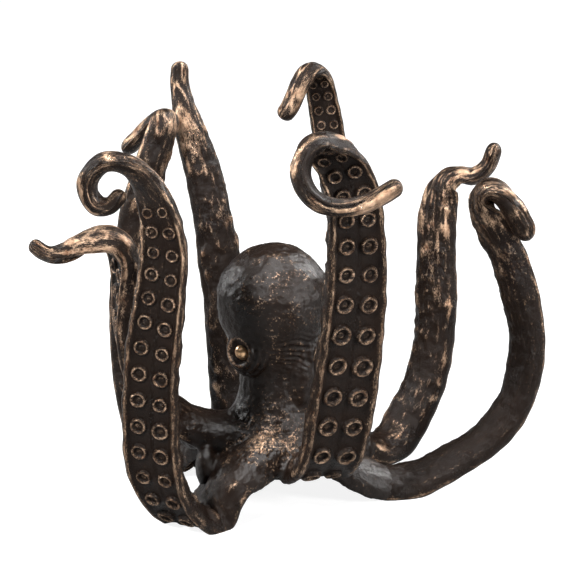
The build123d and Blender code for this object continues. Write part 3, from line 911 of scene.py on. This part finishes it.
def make_arm(name, seed):
    """One finished arm with its suckers."""
    skin = sweep(name, START_ROW.get(name, USUAL_START_ROW), seed)
    arm = skin_object(name + "_skin", *skin)
    places, faces, wear = plant(name, seed)
    uv = np.array(places)[:, [0, 2]] / ARM_WIDTH * CUP_UV_STRETCH
    cups = new_object(name + "_cups", places, faces, wear, uv)
    select(cups, arm)
    bpy.ops.object.join()
    bpy.ops.object.shade_smooth()
    arm.data.materials.append(ARM_BRONZE)
    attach(arm, "root")
    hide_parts(name)
    return arm


for seed, name in enumerate(ROUTES, start=1):
    arm = make_arm(name, seed)
    print(name, "faces", len(arm.data.polygons))

# %% [markdown]
# ## Blocking out the body
# The body has no hard edges: head, neck, skirt and the eight arm roots flow into each other. We block it
# out from simple forms that overlap, as in clay. The trunk is a circle extruded up a list of levels, and
# each root is a short sweep along the start of its arm's route. Balls stretched from the neck down to the
# roots will become webs of skin, and a few more fill out what the photograph shows thicker.

# %% Block out the trunk
HEAD_WIDTH = 61 * MM
HEAD_DEPTH = 63 * MM
BODY_BOTTOM = 15 * MM
BODY_TOP = 141 * MM
BODY_MIDDLE = FIGURE_MIDDLE + Vector((-7, 3, 0)) * MM
TRUNK_SIDES = 48
TRUNK_LEVELS = [
    # share of the height, then shares of half the head's width and depth
    (0.00, 0.80, 0.78),
    (0.03, 1.02, 1.00),
    (0.08, 1.20, 1.18),
    (0.15, 1.12, 1.09),
    (0.21, 0.92, 0.91),
    (0.28, 0.74, 0.76),
    (0.36, 0.63, 0.68),
    (0.44, 0.60, 0.67),
    (0.52, 0.67, 0.75),
    (0.59, 0.82, 0.86),
    (0.66, 0.95, 0.96),
    (0.73, 1.01, 1.01),
    (0.80, 1.01, 1.01),
    (0.87, 0.91, 0.92),
    (0.93, 0.72, 0.73),
    (0.97, 0.50, 0.51),
    (0.995, 0.18, 0.18),
]


def trunk_radii(level):
    """Half width and half depth at a share of the height."""
    shares = np.array(TRUNK_LEVELS)
    wide = np.interp(level, shares[:, 0], shares[:, 1])
    deep = np.interp(level, shares[:, 0], shares[:, 2])
    return HEAD_WIDTH / 2 * wide, HEAD_DEPTH / 2 * deep


select()
bottom = BODY_MIDDLE + Vector((0, 0, BODY_BOTTOM))
bpy.ops.mesh.primitive_circle_add(vertices=TRUNK_SIDES, radius=1, fill_type="NGON", location=bottom)
body = bpy.context.object
body.name = "body_casting"
body.scale = (*trunk_radii(0), 1)
bpy.ops.object.transform_apply(location=False, rotation=False, scale=True)
bpy.ops.object.mode_set(mode="EDIT")
bpy.ops.mesh.select_all(action="SELECT")
for (low, *near), (high, *far) in zip(TRUNK_LEVELS, TRUNK_LEVELS[1:]):
    rise = (high - low) * (BODY_TOP - BODY_BOTTOM)
    bpy.ops.mesh.extrude_region_move(TRANSFORM_OT_translate={"value": (0, 0, rise)})
    bpy.ops.transform.resize(value=(far[0] / near[0], far[1] / near[1], 1))
bpy.ops.mesh.select_all(action="SELECT")
bpy.ops.mesh.normals_make_consistent(inside=False)
bpy.ops.object.mode_set(mode="OBJECT")
print("trunk faces", len(body.data.polygons))

# %% Block out the roots and webs
ROOT_END_ROW = {"arm_front_left": 1.25}
USUAL_END_ROW = 1.75
# Share of the way to a root's end, and how much larger than its arm the root is there.
ROOT_SWELL = [(0.0, 1.25), (0.4, 1.18), (0.7, 1.12), (0.86, 1.05), (1.0, 0.90)]
ROOT_STEPS = 14
ROOT_CLEARANCE = 0.4 * MM
WEB_HEIGHT = 52 * MM
WEB_RADIUS = 9 * MM
WEB_REACH = 0.55
SWELLINGS = [
    # place and half size in millimetres: the neck's right side, then the skin beside the front left foot
    # and between the two left roots
    ((3.5, 2, 70), (8.5, 12, 24)),
    ((-47, -19, 25), (6, 11, 12)),
    ((-54, 8, 33), (9, 12, 7)),
]


def make_root(name):
    """A short sweep that is fat inside the body and slips under the arm's skin at its end."""
    table = route_table(name)
    end = ROOT_END_ROW.get(name, USUAL_END_ROW)
    where = np.linspace(0, end, ROOT_STEPS)
    places, sizes, along, across, out = stations(table, where)
    grow = np.interp(where / end, *zip(*ROOT_SWELL))
    half_width = (ARM_WIDTH / 2 * sizes * grow)[:, None, None]
    half_thick = (thickness(sizes) / 2 * grow)[:, None, None]
    side = SECTION[:, 0][None, :, None] * half_width * across[:, None, :]
    lift = SECTION[:, 1][None, :, None] * half_thick * out[:, None, :]
    rings = places[:, None, :] + side + lift
    rings[:, :, 2] = np.maximum(rings[:, :, 2], ROOT_CLEARANCE)
    unworn = np.zeros(rings.shape[:2])
    return skin_object(name + "_root", rings, unworn, np.zeros(len(rings)))


def make_ball(place, half_size, turn=(0, 0, 0)):
    """A ball of clay, stretched, turned and put in its place."""
    select()
    bpy.ops.mesh.primitive_uv_sphere_add(segments=20, ring_count=14, radius=1)
    ball = bpy.context.object
    ball.scale = half_size
    ball.rotation_euler = turn
    ball.location = place
    bpy.ops.object.transform_apply()
    return ball


def make_web(name):
    """A stretched ball from the neck down onto a root, which the smoothing turns into a web."""
    table = route_table(name)
    foot = Vector(table[1][:3]) * WEB_REACH + Vector(table[0][:3]) * (1 - WEB_REACH)
    head = BODY_MIDDLE + Vector((0, 0, WEB_HEIGHT))
    run = foot - head
    turn = run.to_track_quat("Z", "Y").to_euler()
    return make_ball(head + run / 2, (WEB_RADIUS, WEB_RADIUS, run.length / 2), turn)


forms = [make_root(name) for name in ROUTES] + [make_web(name) for name in ROUTES]
forms += [make_ball(Vector(place) * MM, Vector(half_size) * MM) for place, half_size in SWELLINGS]
print("forms", len(forms))

# %% [markdown]
# ## The eye lids
# The eye sits in a round lid with a dark groove inside it and folds of skin outside. It stands out of the
# head on a cone, which is one more form of clay. Rings of skin lie round it: two in the lid, and two
# folds further down. Both eyes use one function, because the figure has an eye on each side of the head.

# %% Add the lids
EYE_HEIGHT = 84 * MM
EYE_REACH = 26 * MM
EYE_PITCH = math.radians(4)
EYE_BEARINGS = {"right_eye": math.radians(228), "left_eye": math.radians(342)}
LID_RADIUS = 7.9 * MM
LID_RINGS = [
    # radius, thickness and level of each ring of skin, in millimetres
    (7.9, 1.60, 0.5),
    (5.9, 0.60, -0.6),
    (10.9, 1.30, -1.9),
    (13.3, 1.20, -5.0),
]
STALK_RADIUS = 12.0 * MM
STALK_LENGTH = 14 * MM
GROOVE_DEPTH = 1.6 * MM


def eye_frame(bearing):
    """Matrix of an eye's seat: z out of the head, x to its side."""
    level = math.cos(EYE_PITCH)
    out = Vector((math.cos(bearing) * level, math.sin(bearing) * level, math.sin(EYE_PITCH)))
    seat = Vector((BODY_MIDDLE.x, BODY_MIDDLE.y, EYE_HEIGHT)) + out * EYE_REACH
    return Matrix.Translation(seat) @ out.to_track_quat("Z", "Y").to_matrix().to_4x4()


def seat_in(made, matrix):
    """Puts a freshly made form into an eye's frame and applies its place."""
    made.matrix_world = matrix @ made.matrix_world
    bpy.ops.object.transform_apply()
    return made


def make_stalk(bearing):
    """The cone on which one eye stands out of the head."""
    select()
    bpy.ops.mesh.primitive_cone_add(
        vertices=40,
        radius1=STALK_RADIUS,
        radius2=LID_RADIUS,
        depth=STALK_LENGTH,
        location=(0, 0, -GROOVE_DEPTH - STALK_LENGTH / 2),
    )
    return seat_in(bpy.context.object, eye_frame(bearing))


def make_lid(bearing):
    """The rings of skin round one eye."""
    made = []
    for radius, thick, level in LID_RINGS:
        select()
        bpy.ops.mesh.primitive_torus_add(
            major_radius=radius * MM,
            minor_radius=thick * MM,
            major_segments=56,
            minor_segments=12,
            location=(0, 0, level * MM),
        )
        made.append(seat_in(bpy.context.object, eye_frame(bearing)))
    return made


forms += [make_stalk(bearing) for bearing in EYE_BEARINGS.values()]
lids = [ring for bearing in EYE_BEARINGS.values() for ring in make_lid(bearing)]
print("forms", len(forms), "rings of skin", len(lids))

# %% [markdown]
# ## Fusing the clay
# All forms are joined and given to a voxel remesh, which keeps only the outside. A smooth modifier then
# draws the creases between the forms into webs. The rings round the eyes are fused in a second turn with
# hardly any smoothing, because they would melt away in the first.

# %% Fuse and smooth the body
VOXEL = 0.84 * MM
SOFTENING = 0.5
FORM_TURNS = 16
LID_TURNS = 2


def fuse(main, others, smooth_turns):
    """Joins forms into one closed skin and softens the creases between them."""
    select(*others, main)
    bpy.ops.object.join()
    bpy.ops.object.transform_apply()
    remesh = main.modifiers.new("fuse", "REMESH")
    remesh.mode = "VOXEL"
    remesh.voxel_size = VOXEL
    bpy.ops.object.modifier_apply(modifier="fuse")
    soften = main.modifiers.new("soften", "SMOOTH")
    soften.factor = SOFTENING
    soften.iterations = smooth_turns
    bpy.ops.object.modifier_apply(modifier="soften")


fuse(body, forms, FORM_TURNS)
fuse(body, lids, LID_TURNS)
print("body faces", len(body.data.polygons))

# %% [markdown]
# ## Working the surface
# Now the clay is worked: dents, leathery folds and fine grain are pushed along the normals, wrinkles lie
# beside the eye, and a patch of the skirt is pitted. The lids stay calm. What stands proud is worn, and
# so are the patch, the crown of the head and the lids.

# %% Work the surface
DENT, DENT_SIZE = 0.8 * MM, 16 * MM
LEATHER, LEATHER_SIZE, LEATHER_HEIGHT = 0.38 * MM, 5.5 * MM, 4.8 * MM
LEATHER_REST = 0.7
LEATHER_TOP = 0.74
GRAIN, GRAIN_SIZE = 0.16 * MM, 1.6 * MM
PIT, PIT_SIZE = 3.2 * MM, 2.2 * MM
PIT_START = 0.05
WRINKLE = 0.6 * MM
WRINKLE_PITCH = 3.4 * MM
WRINKLE_SLANT = 0.25
WRINKLE_WANDER = 6 * MM
BROW, BROW_REACH = FIGURE_MIDDLE + Vector((9, -22, 86)) * MM, 11 * MM
PATCH, PATCH_REACH = FIGURE_MIDDLE + Vector((-9, -28, 40)) * MM, 20 * MM
CROWN, CROWN_REACH = FIGURE_MIDDLE + Vector((2, -20, 124)) * MM, 22 * MM
DENT_WEAR = 0.2
BROW_WEAR = 0.4
PATCH_WEAR = 0.50
CROWN_WEAR = 0.16
LID_WEAR = 0.75
LID_SPREAD = 2.0 * MM
CALM_RADIUS = 9 * MM
CALM_FADE = 5 * MM


def noise_at(place, size):
    """Smooth noise with cells of the given size."""
    return noise.noise([value / size for value in place])


def vertex_values(source, field):
    """Places or normals from a mesh as rows of three."""
    values = np.empty(len(source) * 3, dtype=np.float32)
    source.foreach_get(field, values)
    return values.reshape(-1, 3)


def spot(places, centre, reach):
    """1 at the centre, and softly down to 0 round it."""
    return np.exp(-((places - np.array(centre)) ** 2).sum(axis=1) / reach**2)


def work_surface(made):
    """Pushes the skin along its normals and keeps what stands proud as wear."""
    mesh = made.data
    places = vertex_values(mesh.vertices, "co")
    normals = vertex_values(mesh.vertex_normals, "vector")
    wear = np.zeros(len(places), dtype=np.float32)
    push = np.zeros(len(places), dtype=np.float32)
    eyes = np.array([eye_frame(bearing).translation for bearing in EYE_BEARINGS.values()])
    near_eye = np.linalg.norm(places[:, None, :] - eyes[None], axis=2).min(axis=1)
    calm = np.clip((near_eye - CALM_RADIUS) / CALM_FADE, 0, 1)
    brow = spot(places, BROW, BROW_REACH)
    patch = spot(places, PATCH, PATCH_REACH)
    crown = spot(places, CROWN, CROWN_REACH)
    for i, place in enumerate(places.tolist()):
        x, y, z = place
        dent = noise_at(place, DENT_SIZE)
        grain = noise_at(place, GRAIN_SIZE)
        pit = max(0, noise_at(place, PIT_SIZE) - PIT_START)
        leather = ridge_noise(x / LEATHER_SIZE, y / LEATHER_SIZE, z / LEATHER_HEIGHT)
        wrinkle = math.sin((z + WRINKLE_SLANT * x + WRINKLE_WANDER * dent) / WRINKLE_PITCH * math.tau)
        push[i] = DENT * dent + LEATHER * (leather - LEATHER_REST) + GRAIN * grain
        push[i] += WRINKLE * wrinkle * brow[i] - PIT * pit * patch[i]
        wear[i] = max(0, leather - LEATHER_TOP) + DENT_WEAR * max(0, dent)
        wear[i] += BROW_WEAR * brow[i] * max(0, wrinkle)
    wear += PATCH_WEAR * patch + CROWN_WEAR * crown
    places = places + normals * (calm * push)[:, None]
    places[:, 2] = np.maximum(places[:, 2], 0)
    mesh.vertices.foreach_set("co", places.ravel())
    mesh.update()
    lid = np.clip(1 - np.abs(near_eye - LID_RADIUS) / LID_SPREAD, 0, 1)
    wear = np.maximum(LID_WEAR * lid, calm * wear)
    give_wear(mesh, wear)
    return wear


wear = work_surface(body)
body.data.materials.clear()
body.data.materials.append(BODY_BRONZE)
select(body)
bpy.ops.object.shade_smooth()
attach(body, "root")
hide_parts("body")
print("mean wear", round(float(wear.mean()), 3))

# %% [markdown]
# ## The gilt eyes
# Each eye is a polished dome. A sphere is cut in half with bisect and set down into the groove. Its
# material is brighter than the copper, with dark dirt left in dimples.

# %% Mix the gilt
GILT = (0.98, 0.62, 0.34, 1)
GILT_METAL = 0.95
GILT_ROUGHNESS = 0.28
DIRT_SCALE = 260.0
DIRT_START = 0.34
DIRT_END = 0.50
DIMPLE_STRENGTH = 0.4
DIMPLE_DEPTH = 0.25 * MM

gilt = bpy.data.materials.new("eye_gilt")
gilt.use_nodes = True
tree = gilt.node_tree
shader = tree.nodes["Principled BSDF"]
coords = tree.nodes.new("ShaderNodeTexCoord")
dirt = texture(tree, coords.outputs["Object"], Scale=DIRT_SCALE, Detail=5.0, Roughness=0.6)
clean = node(tree, "ShaderNodeMapRange", Value=dirt, From_Min=DIRT_START, From_Max=DIRT_END)
feed(tree, mix_colour(tree, clean.outputs[0], PATINA_BROWN, GILT), shader.inputs["Base Color"])
feed(tree, maths(tree, "MULTIPLY", clean.outputs[0], GILT_METAL), shader.inputs["Metallic"])
shader.inputs["Roughness"].default_value = GILT_ROUGHNESS
dimples = node(tree, "ShaderNodeBump", Strength=DIMPLE_STRENGTH, Distance=DIMPLE_DEPTH, Height=dirt)
feed(tree, dimples.outputs["Normal"], shader.inputs["Normal"])
print("material", gilt.name)

# %% Make the eyes
EYE_RADIUS = 4.5 * MM
EYE_FIT = 0.98
SHARP_EDGE = math.radians(40)

for name, bearing in EYE_BEARINGS.items():
    select()
    bpy.ops.mesh.primitive_uv_sphere_add(segments=32, ring_count=20, radius=EYE_RADIUS * EYE_FIT)
    eye = bpy.context.object
    eye.name = name + "_dome"
    bpy.ops.object.mode_set(mode="EDIT")
    bpy.ops.mesh.select_all(action="SELECT")
    bpy.ops.mesh.bisect(plane_co=(0, 0, 0), plane_no=(0, 0, 1), clear_inner=True, use_fill=True)
    bpy.ops.object.mode_set(mode="OBJECT")
    eye.location = (0, 0, -GROOVE_DEPTH)
    bpy.ops.object.transform_apply()
    seat_in(eye, eye_frame(bearing))
    bpy.ops.object.shade_smooth_by_angle(angle=SHARP_EDGE)
    eye.data.materials.append(gilt)
    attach(eye, "root")
    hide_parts(name)
    print(eye.name, "faces", len(eye.data.polygons))
